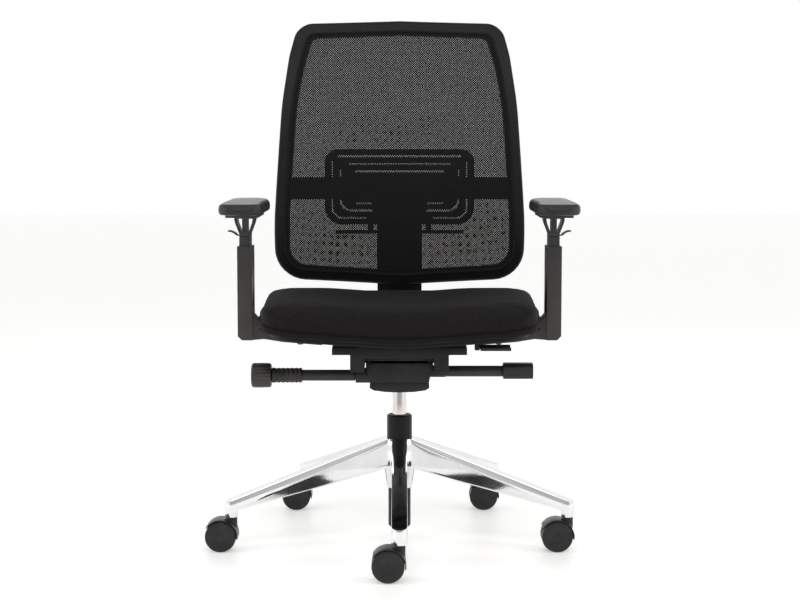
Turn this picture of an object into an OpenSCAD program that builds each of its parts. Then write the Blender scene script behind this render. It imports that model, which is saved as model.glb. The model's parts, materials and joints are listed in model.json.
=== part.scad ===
// Swivel office chair: mesh back, adjustable arms, synchronised tilt, gas column, five-leg base.
// Units are millimetres. X is to the sitter's left seen from the front, Y to the rear, Z up.
// The origin is on the floor, on the axis of the gas column.

/* [Base] */
// Distance from the column axis to each caster stem
base_reach = 341.5; // [290:0.5:400]
// Number of legs and casters
leg_count = 5; // [5:1:6]
// Width of a leg where it leaves the hub
leg_root_w = 30; // [26:1:36]
// Width of a leg at the caster socket
leg_tip_w = 26; // [22:1:30]
// Height of the top of the base hub above the floor
hub_top = 203; // [180:1:230]
// Wall thickness of the cast legs
leg_wall = 4; // [3:0.5:6]

/* [Casters] */
// Wheel diameter
wheel_d = 60; // [50:1:70]
// Width of one of the two wheels
wheel_w = 20; // [15:1:24]
// Thickness of the web between the wheels
web_t = 8; // [6:0.5:12]
// Distance from the stem axis to the wheel axle
caster_trail = 20.5; // [15:0.5:28]
// Diameter of the caster's steel stem
stem_d = 10.9; // [9.9:0.1:11.9]

/* [Gas column] */
// Outer diameter of the column tube above the hub
tube_d = 50; // [46:1:56]
// Diameter of the chromed gas cylinder
cylinder_d = 28; // [25:1:30]
// Height of the top of the column tube
tube_top = 250; // [235:1:270]
// Diameter of the piston rod
rod_d = 10; // [8:1:12]

/* [Mechanism] */
// Outer width of the housing's rim
housing_w = 130; // [120:1:140]
// Diameter of the front and rear pivot shafts
shaft_d = 12; // [10:1:16]
// Distance from the column axis to the end of the left lever, along X
tilt_lever_reach = 287; // [240:1:320]
// Distance from the column axis to the end of the right lever, along X
height_lever_reach = 262; // [220:1:300]
// Diameter of the lever rods
lever_d = 21.5; // [16:0.5:23]

/* [Seat] */
// Overall width of the seat cushion
seat_w = 538; // [480:2:600]
// Distance from the column axis to the front edge of the seat
seat_front = 268; // [240:1:300]
// Distance from the column axis to the rear edge of the seat
seat_rear = 202; // [180:1:225]
// Height of the top of the cushion at its sides
seat_top = 490; // [480:1:510]
// How much lower the middle of the cushion is than its sides
seat_dish = 10; // [4:1:16]
// Thickness of the moulded seat shell
shell_t = 8; // [5:0.5:10]
// Travel of the seat-depth slide
seat_travel = 50; // [30:1:60]

/* [Arms] */
// Distance from the middle of the chair to the middle of an arm post
arm_x = 299; // [290:1:340]
// Width of the arm post, across the chair
post_w = 21.5; // [18:0.5:24]
// Depth of the arm post, along the chair
post_d = 45; // [36:1:50]
// Width of the sleeve that the post slides in
sleeve_w = 28.5; // [28:0.5:40]
// Height of the top of the sleeve
sleeve_top = 587; // [560:1:600]
// Length of the arm pad
pad_l = 250; // [220:2:280]
// Width of the arm pad
pad_w = 84; // [70:1:100]
// Height of the top of the arm pad
pad_top = 679; // [675:1:690]

/* [Back] */
// Greatest width of the back frame
back_w = 518; // [460:2:560]
// Height of the top of the back frame
back_top = 1039; // [980:1:1100]
// Height of the bottom of the back frame
back_bottom = 486; // [480:1:495]
// Width of the frame's band, seen from the front
band_w = 31; // [24:0.5:40]
// Depth of the frame, front to rear
frame_d = 26; // [22:1:32]
// Width of the spine below the crossbar
spine_w = 94; // [80:1:110]
// Width of the lumbar pad
lumbar_w = 312; // [260:2:340]
// Travel of the lumbar pad each way from rest
lumbar_travel = 30; // [15:1:32]

/* [Hidden] */
$fn = 64;

// Clearances: a shaft that turns, a part that slides, and soft parts that pass each other
turn_gap = 0.05;
slide_gap = 0.08;
soft_gap = 0.4;
eps = 0.01;

// Shared heights and places
wheel_z = wheel_d / 2;
socket_z = wheel_d + 7;
stem_hole_d = stem_d + 2 * turn_gap;
stem_top = socket_z + 28;
hub_bottom = 104;
tube_low_d = tube_d - 5.5;
tube_bottom = 24;
tube_floor = 6;
tube_bore_d = tube_d - 10;
front_pivot = [-70, 367];
rear_pivot = [42, 350];
rim_top = 362;
housing_floor = 325;
rail_in = housing_w / 2 + 2;
rail_out = rail_in + 28;
deck_z = 394;
tilt_lever_at = [-70, 337];
height_lever_at = [-26, 339];
post_y = -40;
plate_bottom = pad_top - 34;
head_bottom = plate_bottom - 39;
pad_mid_y = -60;
pad_mid_x = arm_x - 1;
back_bow_r = 1124;
back_y = 220;

// Points of an arc about c from angle a to angle b, in steps of about 6 degrees
function arc(c, r, a, b) =
    let (n = max(2, ceil(abs(b - a) / 6)))
    [for (i = [0 : n]) [c.x + r * cos(a + (b - a) * i / n), c.y + r * sin(a + (b - a) * i / n)]];

// Rounds each corner [x, y, radius] of a closed outline with a tangent arc
function turn(u, v) = atan2(u.x * v.y - u.y * v.x, u.x * v.x + u.y * v.y);
function rounded(corners) = [for (i = [0 : len(corners) - 1])
    let (n = len(corners),
         p = corners[i],
         before = corners[(i + n - 1) % n],
         after = corners[(i + 1) % n],
         u = [p.x - before.x, p.y - before.y] / norm([p.x - before.x, p.y - before.y]),
         v = [after.x - p.x, after.y - p.y] / norm([after.x - p.x, after.y - p.y]),
         t = turn(u, v),
         reach = p[2] * tan(abs(t) / 2),
         side = t > 0 ? 1 : -1,
         c = [p.x - u.x * reach - side * u.y * p[2], p.y - u.y * reach + side * u.x * p[2]],
         a = atan2(u.y, u.x) - side * 90)
    each (p[2] == 0 ? [[p.x, p.y]] : arc(c, p[2], a, a + t))];

// An outline's left half, from its right half listed bottom to top
function mirrored(half) = concat(half, [for (i = [len(half) - 1 : -1 : 0])
    if (abs(half[i].x) > eps) [-half[i].x, half[i].y, half[i][2]]]);

// Stands a drawing of the front view up, from y0 back to y1
module front_view(y0, y1) {
    translate([0, y1, 0]) rotate([90, 0, 0]) linear_extrude(y1 - y0) children();
}

// Stands a drawing of the side view (Y across, Z up) up, from x0 to x1
module side_view(x0, x1) {
    translate([x0, 0, 0]) rotate([90, 0, 90]) linear_extrude(x1 - x0) children();
}

// A round bar along X from x0 to x1, about the line at = [y, z]
module bar_x(x0, x1, at, d) {
    translate([x0, at[0], at[1]]) rotate([0, 90, 0]) cylinder(d = d, h = x1 - x0);
}

// ---- Base ------------------------------------------------------------------------------------

hub_bore_low_d = tube_low_d + 0.5;

module leg_plan(w0, w1, end_r) {
    polygon([[0, -w0 / 2], [base_reach, -w1 / 2], [base_reach, w1 / 2], [0, w0 / 2]]);
    translate([base_reach, 0]) circle(r = end_r);
}

function leg_top_z(r) = hub_top + 10 - 0.333 * r;
function leg_low_z(r) = 151 - 0.21 * r;
tip_r = base_reach + leg_tip_w / 2;

module base_leg() {
    difference() {
        intersection() {
            linear_extrude(hub_top + 10) leg_plan(leg_root_w, leg_tip_w, leg_tip_w / 2);
            rotate([90, 0, 0]) translate([0, 0, -leg_root_w]) linear_extrude(2 * leg_root_w)
                polygon([[10, leg_low_z(10)], [tip_r - 22, leg_low_z(tip_r - 22)],
                    [tip_r - 22, socket_z + 6], [tip_r + 1, socket_z + 6],
                    [tip_r + 1, leg_top_z(tip_r)], [30, leg_top_z(30)], [10, leg_top_z(30)]]);
        }
        // The hollow underside, open downwards
        rotate([90, 0, 0]) translate([0, 0, -leg_tip_w / 2 + leg_wall])
            linear_extrude(leg_tip_w - 2 * leg_wall)
            polygon([[40, leg_low_z(40) - 2], [base_reach - 18, leg_low_z(base_reach - 18) - 2],
                [base_reach - 18, leg_top_z(base_reach - 18) - leg_wall],
                [40, leg_top_z(40) - leg_wall]]);
    }
    translate([base_reach, 0, socket_z]) cylinder(d = leg_tip_w - 1, h = 12);
}

module base_star() {
    color([0.78, 0.78, 0.79]) difference() {
        union() {
            rotate_extrude() polygon([[0, hub_bottom], [tube_low_d / 2 + 2.5, hub_bottom],
                [leg_root_w, hub_bottom + 36], [leg_root_w + 3, hub_bottom + 48],
                [leg_root_w + 3, hub_top - 8], [leg_root_w, hub_top], [0, hub_top]]);
            for (i = [0 : leg_count - 1]) rotate(-90 + i * 360 / leg_count) base_leg();
        }
        translate([0, 0, hub_bottom - 1]) rotate_extrude() polygon([[0, 0],
            [tube_low_d / 2, 0], [tube_low_d / 2, 1], [tube_d / 2, hub_top - hub_bottom + 1],
            [tube_d / 2, hub_top - hub_bottom + 20], [0, hub_top - hub_bottom + 20]]);
        for (i = [0 : leg_count - 1]) rotate(-90 + i * 360 / leg_count)
            translate([base_reach, 0, socket_z - 1]) cylinder(d = stem_hole_d, h = stem_top - socket_z + 1);
    }
}

// ---- Casters: the wheels trail towards -X of each stem ---------------------------------------

module at_caster(i) {
    a = -90 + (i - 1) * 360 / leg_count;
    translate([base_reach * cos(a), base_reach * sin(a), 0]) children();
}

// Stands a ring or disc up so that its axis is the wheel axle, centred on the web
module on_axle() {
    translate([-caster_trail, 0, wheel_z]) rotate([90, 0, 0]) children();
}

fender_gap = 1;
fender_t = 2;
axle_d = 6;
stem_seat = 10.5;
hood_w = 2 * wheel_w + web_t - 4;

module caster_hood(i) {
    color([0.1, 0.1, 0.1]) at_caster(i) difference() {
        union() {
            difference() {
                union() {
                    // Web between the wheels, carried up to the stem collar
                    on_axle() translate([0, 0, -web_t / 2]) linear_extrude(web_t) {
                        circle(r = wheel_z - 5);
                        polygon([[0, 0], [caster_trail, 0], [caster_trail + 9, 12],
                            [caster_trail + 9, wheel_z + 4], [0, wheel_z + 1]]);
                    }
                    translate([0, 0, socket_z - 22]) cylinder(d = 22, h = 21.5);
                }
                // Room for the wheels either side of the web
                for (y = [web_t / 2, -web_t / 2 - wheel_w - 4]) on_axle() translate([0, 0, y])
                    cylinder(r = wheel_z + fender_gap + fender_t / 2, h = wheel_w + 4);
            }
            // Fender over the front and top of both wheels
            on_axle() translate([0, 0, -hood_w / 2]) rotate([0, 0, -8])
                rotate_extrude(angle = 156) translate([wheel_z + fender_gap, 0])
                square([fender_t, hood_w]);
        }
        translate([0, 0, socket_z - stem_seat]) cylinder(d = stem_d, h = stem_seat + 2);
        on_axle() translate([0, 0, -web_t]) cylinder(d = axle_d, h = 2 * web_t);
    }
}

module caster_pins(i) {
    color([0.6, 0.6, 0.62]) at_caster(i) {
        translate([0, 0, socket_z - stem_seat]) cylinder(d = stem_d, h = stem_top - socket_z + stem_seat - 1);
        on_axle() translate([0, 0, -web_t / 2 - wheel_w + 2]) cylinder(d = axle_d, h = web_t + 2 * wheel_w - 4);
    }
}

module caster_wheel(i, side) {
    color([0.08, 0.08, 0.08]) at_caster(i) on_axle()
        rotate([side > 0 ? 0 : 180, 0, 0]) translate([0, 0, web_t / 2 + 1])
        rotate_extrude($fn = 96) polygon(concat(
            [[axle_d / 2 + turn_gap, 0], [wheel_z - 1, 0], [wheel_z, 1]],
            arc([wheel_z - 5, wheel_w - 5], 5, 0, 90),
            [[wheel_z - 9, wheel_w - 2.5], [axle_d / 2 + turn_gap, wheel_w - 2.5]]));
}

// ---- Gas column ------------------------------------------------------------------------------

cylinder_low = 100;
cylinder_top = 345;
bearing_d = rod_d + 18;

module column_tube() {
    color([0.06, 0.06, 0.06]) difference() {
        rotate_extrude() polygon(concat([[0, tube_bottom]],
            arc([tube_low_d / 2 - 5, tube_bottom + 5], 5, -90, 0),
            [[tube_low_d / 2, hub_bottom], [tube_d / 2, hub_top], [tube_d / 2, tube_top - 3],
             [tube_d / 2 - 2, tube_top], [0, tube_top]]));
        translate([0, 0, tube_bottom + tube_floor])
            cylinder(d = tube_low_d - 6, h = hub_bottom - tube_bottom - tube_floor + 4);
        translate([0, 0, hub_bottom + 3]) cylinder(d = min(tube_bore_d, tube_low_d - 6), h = tube_top);
        translate([0, 0, tube_bottom - 1]) cylinder(d = rod_d + 2 * turn_gap, h = tube_floor + 2);
    }
}

bush_d = min(tube_bore_d, tube_low_d - 6);

module column_bush() {
    color([0.15, 0.15, 0.15]) difference() {
        translate([0, 0, hub_bottom + 20]) cylinder(d = bush_d, h = tube_top - hub_bottom - 21);
        cylinder(d = cylinder_d + 2 * turn_gap, h = tube_top + 10);
    }
}

module piston_rod() {
    color([0.7, 0.7, 0.72]) {
        translate([0, 0, tube_bottom + 1]) cylinder(d = rod_d, h = hub_top - tube_bottom);
        translate([0, 0, tube_bottom + tube_floor + 8]) cylinder(d = rod_d + 6, h = 4);
        translate([0, 0, hub_top - 4]) cylinder(d = cylinder_d - 4 - 2 * turn_gap, h = 8);
    }
}

module thrust_bearing() {
    color([0.5, 0.5, 0.52]) difference() {
        translate([0, 0, tube_bottom + tube_floor]) cylinder(d = bearing_d, h = 8);
        cylinder(d = rod_d, h = tube_bottom + 40);
    }
}

module gas_cylinder() {
    color([0.8, 0.78, 0.74]) difference() {
        translate([0, 0, cylinder_low]) cylinder(d = cylinder_d, h = cylinder_top - cylinder_low);
        translate([0, 0, cylinder_low - 1]) cylinder(d = rod_d + 2 * turn_gap, h = 20);
        translate([0, 0, cylinder_low + 10]) cylinder(d = cylinder_d - 4, h = cylinder_top - cylinder_low - 20);
    }
}

// ---- Tilt mechanism --------------------------------------------------------------------------

housing_front = -88;
housing_rear = 54;
wall_t = 8;
boss_d = cylinder_d + 16;
floor_rear = boss_d / 2;

module mech_housing() {
    color([0.09, 0.09, 0.09]) difference() {
        union() {
            // Tray: two side walls, the front wall and the floor
            difference() {
                front_view(housing_front, housing_rear) polygon([[-57, housing_floor], [57, housing_floor],
                    [60, 340], [housing_w / 2, rim_top - 11], [housing_w / 2, rim_top],
                    [-housing_w / 2, rim_top], [-housing_w / 2, rim_top - 11], [-60, 340]]);
                front_view(housing_front + wall_t, housing_rear + 1) translate([-housing_w / 2 + wall_t + 3,
                    housing_floor + 6]) square([housing_w - 2 * wall_t - 6, 60]);
                translate([-housing_w, floor_rear, housing_floor - 1])
                    cube([2 * housing_w, housing_rear, 7.1]);
            }
            // Ears that carry the front pivot shaft
            for (s = [-1, 1]) side_view(s > 0 ? housing_w / 2 - wall_t - 2 : -housing_w / 2,
                s > 0 ? housing_w / 2 : -housing_w / 2 + wall_t + 2) {
                translate(front_pivot) circle(r = shaft_d / 2 + 5);
                translate([front_pivot.x - shaft_d / 2 - 5, rim_top - 12]) square([shaft_d + 10, 17]);
            }
            // Socket for the top of the gas cylinder
            translate([0, 0, housing_floor - 20]) cylinder(d = boss_d, h = cylinder_top - housing_floor + 24);
            // Left and right blocks that the levers turn in
            bar_x(-housing_w / 2 - 20, -housing_w / 2 + 10, tilt_lever_at, lever_d + 8);
            bar_x(housing_w / 2 - 10, housing_w / 2 + 26, height_lever_at, lever_d + 2);
        }
        translate([0, 0, housing_floor - 30]) cylinder(d = cylinder_d, h = cylinder_top - housing_floor + 30);
        bar_x(-housing_w, housing_w, front_pivot, shaft_d);
        bar_x(-housing_w, housing_w, rear_pivot, shaft_d);
        bar_x(-housing_w, -housing_w / 2 + wall_t + 12, tilt_lever_at, lever_shank_d + 2 * turn_gap);
        bar_x(housing_w / 2 - wall_t - 12, housing_w, height_lever_at, lever_shank_d + 2 * turn_gap);
    }
}

lever_shank_d = lever_d - 8;

module mech_cover() {
    color([0.11, 0.11, 0.11]) difference() {
        front_view(housing_front + 4, floor_rear + 8) polygon(concat([[57, housing_floor], [-57, housing_floor],
            [-58, 314], [-50, 309]], [[-28, 306], [0, 305], [28, 306]], [[50, 309], [58, 314]]));
        front_view(housing_front + 8, floor_rear + 4) polygon([[53, housing_floor + 1], [-53, housing_floor + 1],
            [-53, 315], [-28, 310], [0, 309], [28, 310], [53, 315]]);
        cylinder(d = boss_d, h = housing_floor + 1);
        // Relief round the left lever's block, which hangs below the housing's floor
        bar_x(-housing_w, -housing_w / 2 + 11, tilt_lever_at, lever_d + 8 + 2 * soft_gap);
    }
}

// Two compression springs as wound bodies between the front wall and the boss
module mech_springs() {
    color([0.45, 0.45, 0.47]) for (s = [-1, 1]) difference() {
        translate([s * 34, housing_front + wall_t, housing_floor + 20]) rotate([-90, 0, 0])
            cylinder(d = 22, h = 48);
        translate([s * 34, housing_front + wall_t - 1, housing_floor + 20]) rotate([-90, 0, 0])
            cylinder(d = 14, h = 50);
    }
}

module front_shaft() {
    color([0.6, 0.6, 0.62]) bar_x(-rail_out + 2, rail_out - 2, front_pivot, shaft_d);
}

module rear_shaft() {
    color([0.6, 0.6, 0.62]) bar_x(-housing_w / 2 - 1, housing_w / 2 + 1, rear_pivot, shaft_d);
}

tilt_grip_at = 189;
knob_at = tilt_lever_reach - 39;
height_grip_at = 203;

module tilt_lever() {
    color([0.12, 0.12, 0.12]) {
        bar_x(-tilt_grip_at - 30, -housing_w / 2 - 20.5, tilt_lever_at, lever_d);
        bar_x(-housing_w / 2 - 21, -housing_w / 2 + 2, tilt_lever_at, lever_shank_d);
    }
}

// The grip: a sleeve on the end of the lever
module tilt_grip() {
    color([0.1, 0.1, 0.1]) difference() {
        bar_x(-knob_at + 0.5, -tilt_grip_at, tilt_lever_at, lever_d + 8);
        bar_x(-tilt_grip_at - 30, 0, tilt_lever_at, lever_d);
        bar_x(-knob_at - 1, -knob_at + 16, tilt_lever_at, 10 + 2 * turn_gap);
    }
}

module tension_knob() {
    color([0.08, 0.08, 0.08]) translate([0, tilt_lever_at[0], tilt_lever_at[1]]) rotate([0, -90, 0])
        rotate_extrude() polygon(concat([[0, knob_at - 15], [5, knob_at - 15], [5, knob_at], [20, knob_at]],
            arc([20, knob_at + 4], 4, -90, 0), arc([19, tilt_lever_reach - 5], 5, 0, 90),
            [[0, tilt_lever_reach]]));
}

module height_lever() {
    color([0.12, 0.12, 0.12]) {
        bar_x(housing_w / 2 + 26.5, height_grip_at + 18, height_lever_at, lever_d);
        bar_x(housing_w / 2 - 2, housing_w / 2 + 27, height_lever_at, lever_shank_d);
    }
}

// The paddle: a flat-topped grip pushed onto the end of the lever
module height_grip() {
    color([0.1, 0.1, 0.1]) difference() {
        side_view(height_grip_at, height_lever_reach) translate(height_lever_at)
            polygon(rounded([[-17, -14, 6], [17, -14, 6], [17, 10, 6], [9, 16.5, 4], [-9, 16.5, 4],
                [-17, 10, 6]]));
        bar_x(height_grip_at - 1, height_grip_at + 18, height_lever_at, lever_d);
    }
}

// ---- Seat ------------------------------------------------------------------------------------

rail_rear = 150;
flange_out = 130;
apron_h = 22;

module seat_carrier() {
    color([0.1, 0.1, 0.1]) difference() {
        union() {
            for (s = [-1, 1]) {
                // Side rail, hooked down in front of the lever
                side_view(s > 0 ? rail_in : -rail_out, s > 0 ? rail_out : -rail_in) polygon([[-100, 346],
                    [-88, 346], [-84, 355], [-54, 355], [-48, 366], [rail_rear, 368],
                    [rail_rear, deck_z - 14], [-100, deck_z - 14]]);
                // Flange that the seat slides on
                translate([s > 0 ? rail_in : -flange_out, -100, deck_z - 14.1])
                    cube([flange_out - rail_in, rail_rear + 100, 14.1]);
            }
            translate([-rail_in - 1, -100, deck_z - 12]) cube([2 * rail_in + 2, 24, 12]);
            translate([-rail_in - 1, rail_rear - 22, deck_z - 12]) cube([2 * rail_in + 2, 22, 12]);
            // Apron in front of the housing's ears
            translate([-rail_in - 1, -100, deck_z - apron_h]) cube([2 * rail_in + 2, 10, apron_h]);
        }
        bar_x(-housing_w, housing_w, front_pivot, shaft_d + 2 * turn_gap);
    }
}

// Lower surface of the seat shell at a distance x from the middle
shell_low = [[0, 411], [64, 412.5], [128, 417], [seat_w / 2 - 89, 421], [seat_w / 2 - 44, 425],
    [seat_w / 2 - 12, 430]];
seat_plan = [[0, -seat_front, 0], [seat_w / 2 - 22, -seat_front + 14, 62], [seat_w / 2, -90, 300],
    [seat_w / 2 - 12, seat_rear - 4, 70], [0, seat_rear, 0]];

function raised(points, d) = [for (p = points) [p.x, p.y + d]];
function both_sides(half) = concat(half, [for (i = [len(half) - 1 : -1 : 0])
    if (abs(half[i].x) > eps) [-half[i].x, half[i].y]]);
function backwards(points) = [for (i = [len(points) - 1 : -1 : 0]) points[i]];

// The seat's plan outline, drawn in X and Y and drawn in by inset
module seat_outline(inset) {
    polygon(rounded([for (p = mirrored(seat_plan)) [p.x * (1 - 2 * inset / seat_w),
        p.y * (1 - 2 * inset / (seat_front + seat_rear)), p[2]]]));
}

module seat_shell() {
    color([0.07, 0.07, 0.07]) difference() {
      union() {
        intersection() {
            front_view(-seat_front, seat_rear) polygon(concat(both_sides_low(shell_low),
                backwards(both_sides_low(raised(shell_low, shell_t)))));
            translate([0, 0, 380]) linear_extrude(120) seat_outline(14);
        }
        // Runners on the carrier's flanges
        for (s = [-1, 1]) translate([s > 0 ? rail_in + 8 : -flange_out + 4, -96, deck_z + slide_gap])
            cube([flange_out - rail_in - 12, rail_rear + 92 - seat_travel + 40, 420 - deck_z]);
        // Pads that the arm brackets are screwed to
        for (s = [-1, 1]) translate([s > 0 ? 150 : -205, post_y - 38, arm_seat_z])
            cube([55, 76, 424 - arm_seat_z]);
        // Lug that the depth lever turns in
        difference() {
            side_view(lug_x, lug_x + 9) translate([depth_lever_at[0] - 8, depth_lever_at[1] - 6])
                square([16, 18]);
            bar_x(lug_x - 1, lug_x + 10, depth_lever_at, lever_pin_d + 2 * turn_gap);
        }
      }
      at_arm_screws() cylinder(d = screw_d, h = screw_l);
    }
}

function both_sides_low(half) = concat([for (i = [len(half) - 1 : -1 : 1]) [-half[i].x, half[i].y]], half);

arm_seat_z = 407;

module seat_cushion() {
    side_r = 36;
    color([0.17, 0.16, 0.16]) intersection() {
        front_view(-seat_front - 1, seat_rear + 1) polygon(concat(
            both_sides_low(raised(shell_low, shell_t)),
            [[seat_w / 2 - 3, 442]],
            arc([seat_w / 2 - side_r, seat_top - side_r], side_r, 5, 84),
            [[150, seat_top - 1], [70, seat_top - seat_dish * 0.8], [-70, seat_top - seat_dish * 0.8],
             [-150, seat_top - 1]],
            arc([-seat_w / 2 + side_r, seat_top - side_r], side_r, 96, 175),
            [[-seat_w / 2 + 3, 442]]));
        translate([0, 0, 400]) linear_extrude(100) seat_outline(0);
        side_view(-seat_w, seat_w) polygon(concat([[-seat_front + 10, 400], [seat_rear - 6, 400]],
            arc([seat_rear - 26, seat_top - 31], 26, 0, 86), [[120, seat_top]],
            [[-seat_front + 90, seat_top - 1]],
            arc([-seat_front + 56, seat_top - 60], 56, 96, 186)));
    }
}

depth_lever_at = [-205, 409];
lever_pin_d = 5;
lug_x = 140;

module seat_depth_lever() {
    color([0.13, 0.13, 0.13]) {
        side_view(lug_x + 9.5, lug_x + 66) {
            translate(depth_lever_at) circle(r = 4);
            translate([depth_lever_at[0] - 34, depth_lever_at[1] - 4]) square([34, 5]);
        }
        bar_x(lug_x + 1, lug_x + 10, depth_lever_at, lever_pin_d);
    }
}

// ---- Arms: drawn for the right-hand side and mirrored to the left ----------------------------

screw_d = 6;
screw_l = 20;
screw_head_z = arm_seat_z - 6;

// The places of the screws that hold the arm brackets, at the underside of their heads' seats
module at_arm_screws() {
    for (s = [-1, 1], x = [162, 193], y = [post_y - 18, post_y + 18])
        translate([s * x, y, screw_head_z]) children();
}

module arm_screws() {
    color([0.3, 0.3, 0.32]) at_arm_screws() {
        cylinder(d = screw_d, h = screw_l);
        translate([0, 0, -5]) cylinder(d = 11, h = 5);
    }
}

// The post's foot hangs clear of the sleeve's floor by the arm's downward travel
slot_floor = 412;
arm_travel_down = 18;
post_bottom = slot_floor + arm_travel_down + 2;

module arm_bracket(s) {
    inner = arm_x - sleeve_w / 2;
    outer = arm_x + sleeve_w / 2;
    slot_w = post_w + 2 * slide_gap;
    slot_d = post_d + 2 * slide_gap;
    color([0.22, 0.21, 0.21]) difference() {
        mirror([s < 0 ? 1 : 0, 0, 0]) difference() {
            union() {
                translate([inner, post_y - 31, 405]) cube([sleeve_w, 62, sleeve_top - 405]);
                front_view(post_y - 26, post_y + 26) polygon([[150, 395], [225, 401], [262, 407],
                    [inner + 3, 405], [inner + 3, 460], [inner - 1, 453], [inner - 6, 447],
                    [seat_w / 2 + 3, 443], [seat_w / 2 + 3, 425], [seat_w / 2 - 12, 426],
                    [seat_w / 2 - 44, 421], [206, 417], [205, arm_seat_z],
                    [150, arm_seat_z]]);
            }
            translate([arm_x - slot_w / 2, post_y - slot_d / 2, slot_floor])
                cube([slot_w, slot_d, sleeve_top]);
            // Bottom outer chamfer and the shallow recess on the inner face
            front_view(post_y - 40, post_y + 40) polygon([[outer - 9, 404], [outer + 1, 404],
                [outer + 1, 414]]);
            translate([inner - 1, post_y - 11, 470]) cube([1.8, 22, sleeve_top - 490]);
        }
        at_arm_screws() cylinder(d = screw_d, h = screw_l);
        at_arm_screws() translate([0, 0, -30]) cylinder(d = 11, h = 30);
    }
}

trigger_z = head_bottom + 1.5;
trigger_in = 4;

module arm_post(s) {
    color([0.2, 0.2, 0.2]) difference() {
        translate([s * arm_x - post_w / 2, post_y - post_d / 2, post_bottom])
            cube([post_w, post_d, head_bottom - post_bottom]);
        // Notch that the trigger turns in
        translate([s * (arm_x + post_w / 2), post_y, trigger_z])
            cube([2 * trigger_in + 8, 27, 9], center = true);
    }
}

head_w = 40;
head_d = 42;
pin_d = 6;

module arm_head(s) {
    half = head_w / 2;
    color([0.2, 0.2, 0.2]) translate([s * arm_x, 0, 0]) difference() {
        front_view(post_y - head_d / 2, post_y + head_d / 2) difference() {
            polygon([[-post_w / 2, head_bottom], [post_w / 2, head_bottom], [post_w / 2, head_bottom + 5],
                [half - 2, plate_bottom - 15], [half, plate_bottom - 8], [half, plate_bottom],
                [-half, plate_bottom], [-half, plate_bottom - 8], [-half + 2, plate_bottom - 15],
                [-post_w / 2, head_bottom + 5]]);
            for (m = [0, 1]) mirror([m, 0]) polygon([[5, head_bottom + 8], [7.5, head_bottom + 8],
                [14, plate_bottom - 13], [15.5, plate_bottom - 5], [5, plate_bottom - 5]]);
        }
        translate([0, post_y, plate_bottom - 27]) cylinder(d = pin_d + 2 * turn_gap, h = 30);
        // Slot over the trigger
        translate([s * (post_w / 2), post_y, trigger_z]) cube([2 * trigger_in + 8, 27, 9], center = true);
    }
}

// The height release: a curved tongue that is squeezed up towards the pad
module arm_trigger(s) {
    r = 22;
    color([0.13, 0.13, 0.13]) mirror([s < 0 ? 1 : 0, 0, 0])
        translate([arm_x + post_w / 2 - trigger_in, post_y, trigger_z]) {
            rotate([90, 0, 0]) cylinder(d = 6, h = 24, center = true);
            front_view(-12, 12) polygon(concat([[-1, -1.4], [-1, 1.2], [5, 1.2]],
                arc([26, -r + 9.5], r, 144, 90), [[27, 9.5], [27, 7]],
                arc([26, -r + 9.5], r - 2.5, 90, 140), [[5, -1.4]]));
        }
}

plate_w = 62;
plate_l = 150;
plate_t = 6;

module pad_plate(s) {
    color([0.12, 0.12, 0.12]) {
        translate([s * pad_mid_x - plate_w / 2, pad_mid_y - plate_l / 2, plate_bottom + slide_gap])
            cube([plate_w, plate_l, plate_t]);
        translate([s * arm_x, post_y, plate_bottom - 26]) cylinder(d = pin_d, h = 28);
    }
}

module arm_pad(s) {
    low = plate_bottom + slide_gap + plate_t + soft_gap;
    color([0.2, 0.2, 0.2]) translate([s * pad_mid_x, pad_mid_y, 0]) intersection() {
        translate([0, 0, low]) linear_extrude(pad_top - low) polygon(rounded([[-pad_w / 2, -pad_l / 2, 30],
            [pad_w / 2, -pad_l / 2, 30], [pad_w / 2, pad_l / 2, 34], [-pad_w / 2, pad_l / 2, 34]]));
        front_view(-pad_l, pad_l) polygon(concat([[-pad_w / 2 + 4, low], [pad_w / 2 - 4, low],
            [pad_w / 2, low + 5]], arc([pad_w / 2 - 13, pad_top - 16], 13, 0, 75), [[0, pad_top]],
            arc([-pad_w / 2 + 13, pad_top - 16], 13, 105, 180), [[-pad_w / 2, low + 5]]));
        side_view(-pad_w, pad_w) polygon(concat([[-pad_l / 2, low], [pad_l / 2, low]],
            arc([pad_l / 2 - 14, pad_top - 16], 14, 0, 80), [[0, pad_top]],
            arc([-pad_l / 2 + 14, pad_top - 20], 14, 100, 180)));
    }
}

// ---- Back ------------------------------------------------------------------------------------

// How far behind back_y the mesh lies at height z
function back_curve(z) = pow(z - 675, 2) / 1650;
back_steps = 20;
spine_low = 450;

// A slab that follows the back's double curve, from y0 to y1 behind the mesh, taller than the back
module back_slab(y0, y1) {
    zs = [for (i = [0 : back_steps]) spine_low + (back_top + 10 - spine_low) * i / back_steps];
    translate([0, back_y - back_bow_r, 0]) rotate([0, 0, 74]) rotate_extrude(angle = 32, $fn = 360)
        polygon(concat([for (z = zs) [back_bow_r + back_curve(z) + y1, z]],
            backwards([for (z = zs) [back_bow_r + back_curve(z) + y0, z]])));
}

// Front-view outline of the back, drawn in by inset
module back_outline(inset) {
    half = back_w / 2;
    polygon(rounded(mirrored([[0, back_bottom + inset, 0], [half * 0.62, back_bottom + 10 + inset, 200],
        [half - 1 - inset, back_bottom + 16 + inset, max(20, 66 - inset)],
        [half + 1 - inset, 615, 700], [half - 15 - inset, 865, 700],
        [half - 29 - inset, back_top - 74 - inset * 0.8, 150],
        [half - 46 - inset, back_top - 6 - inset, max(17, 40 - inset)],
        [0, back_top + 1 - inset, 0]])));
}

crossbar_low = 667;
crossbar_high = 713;

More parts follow.
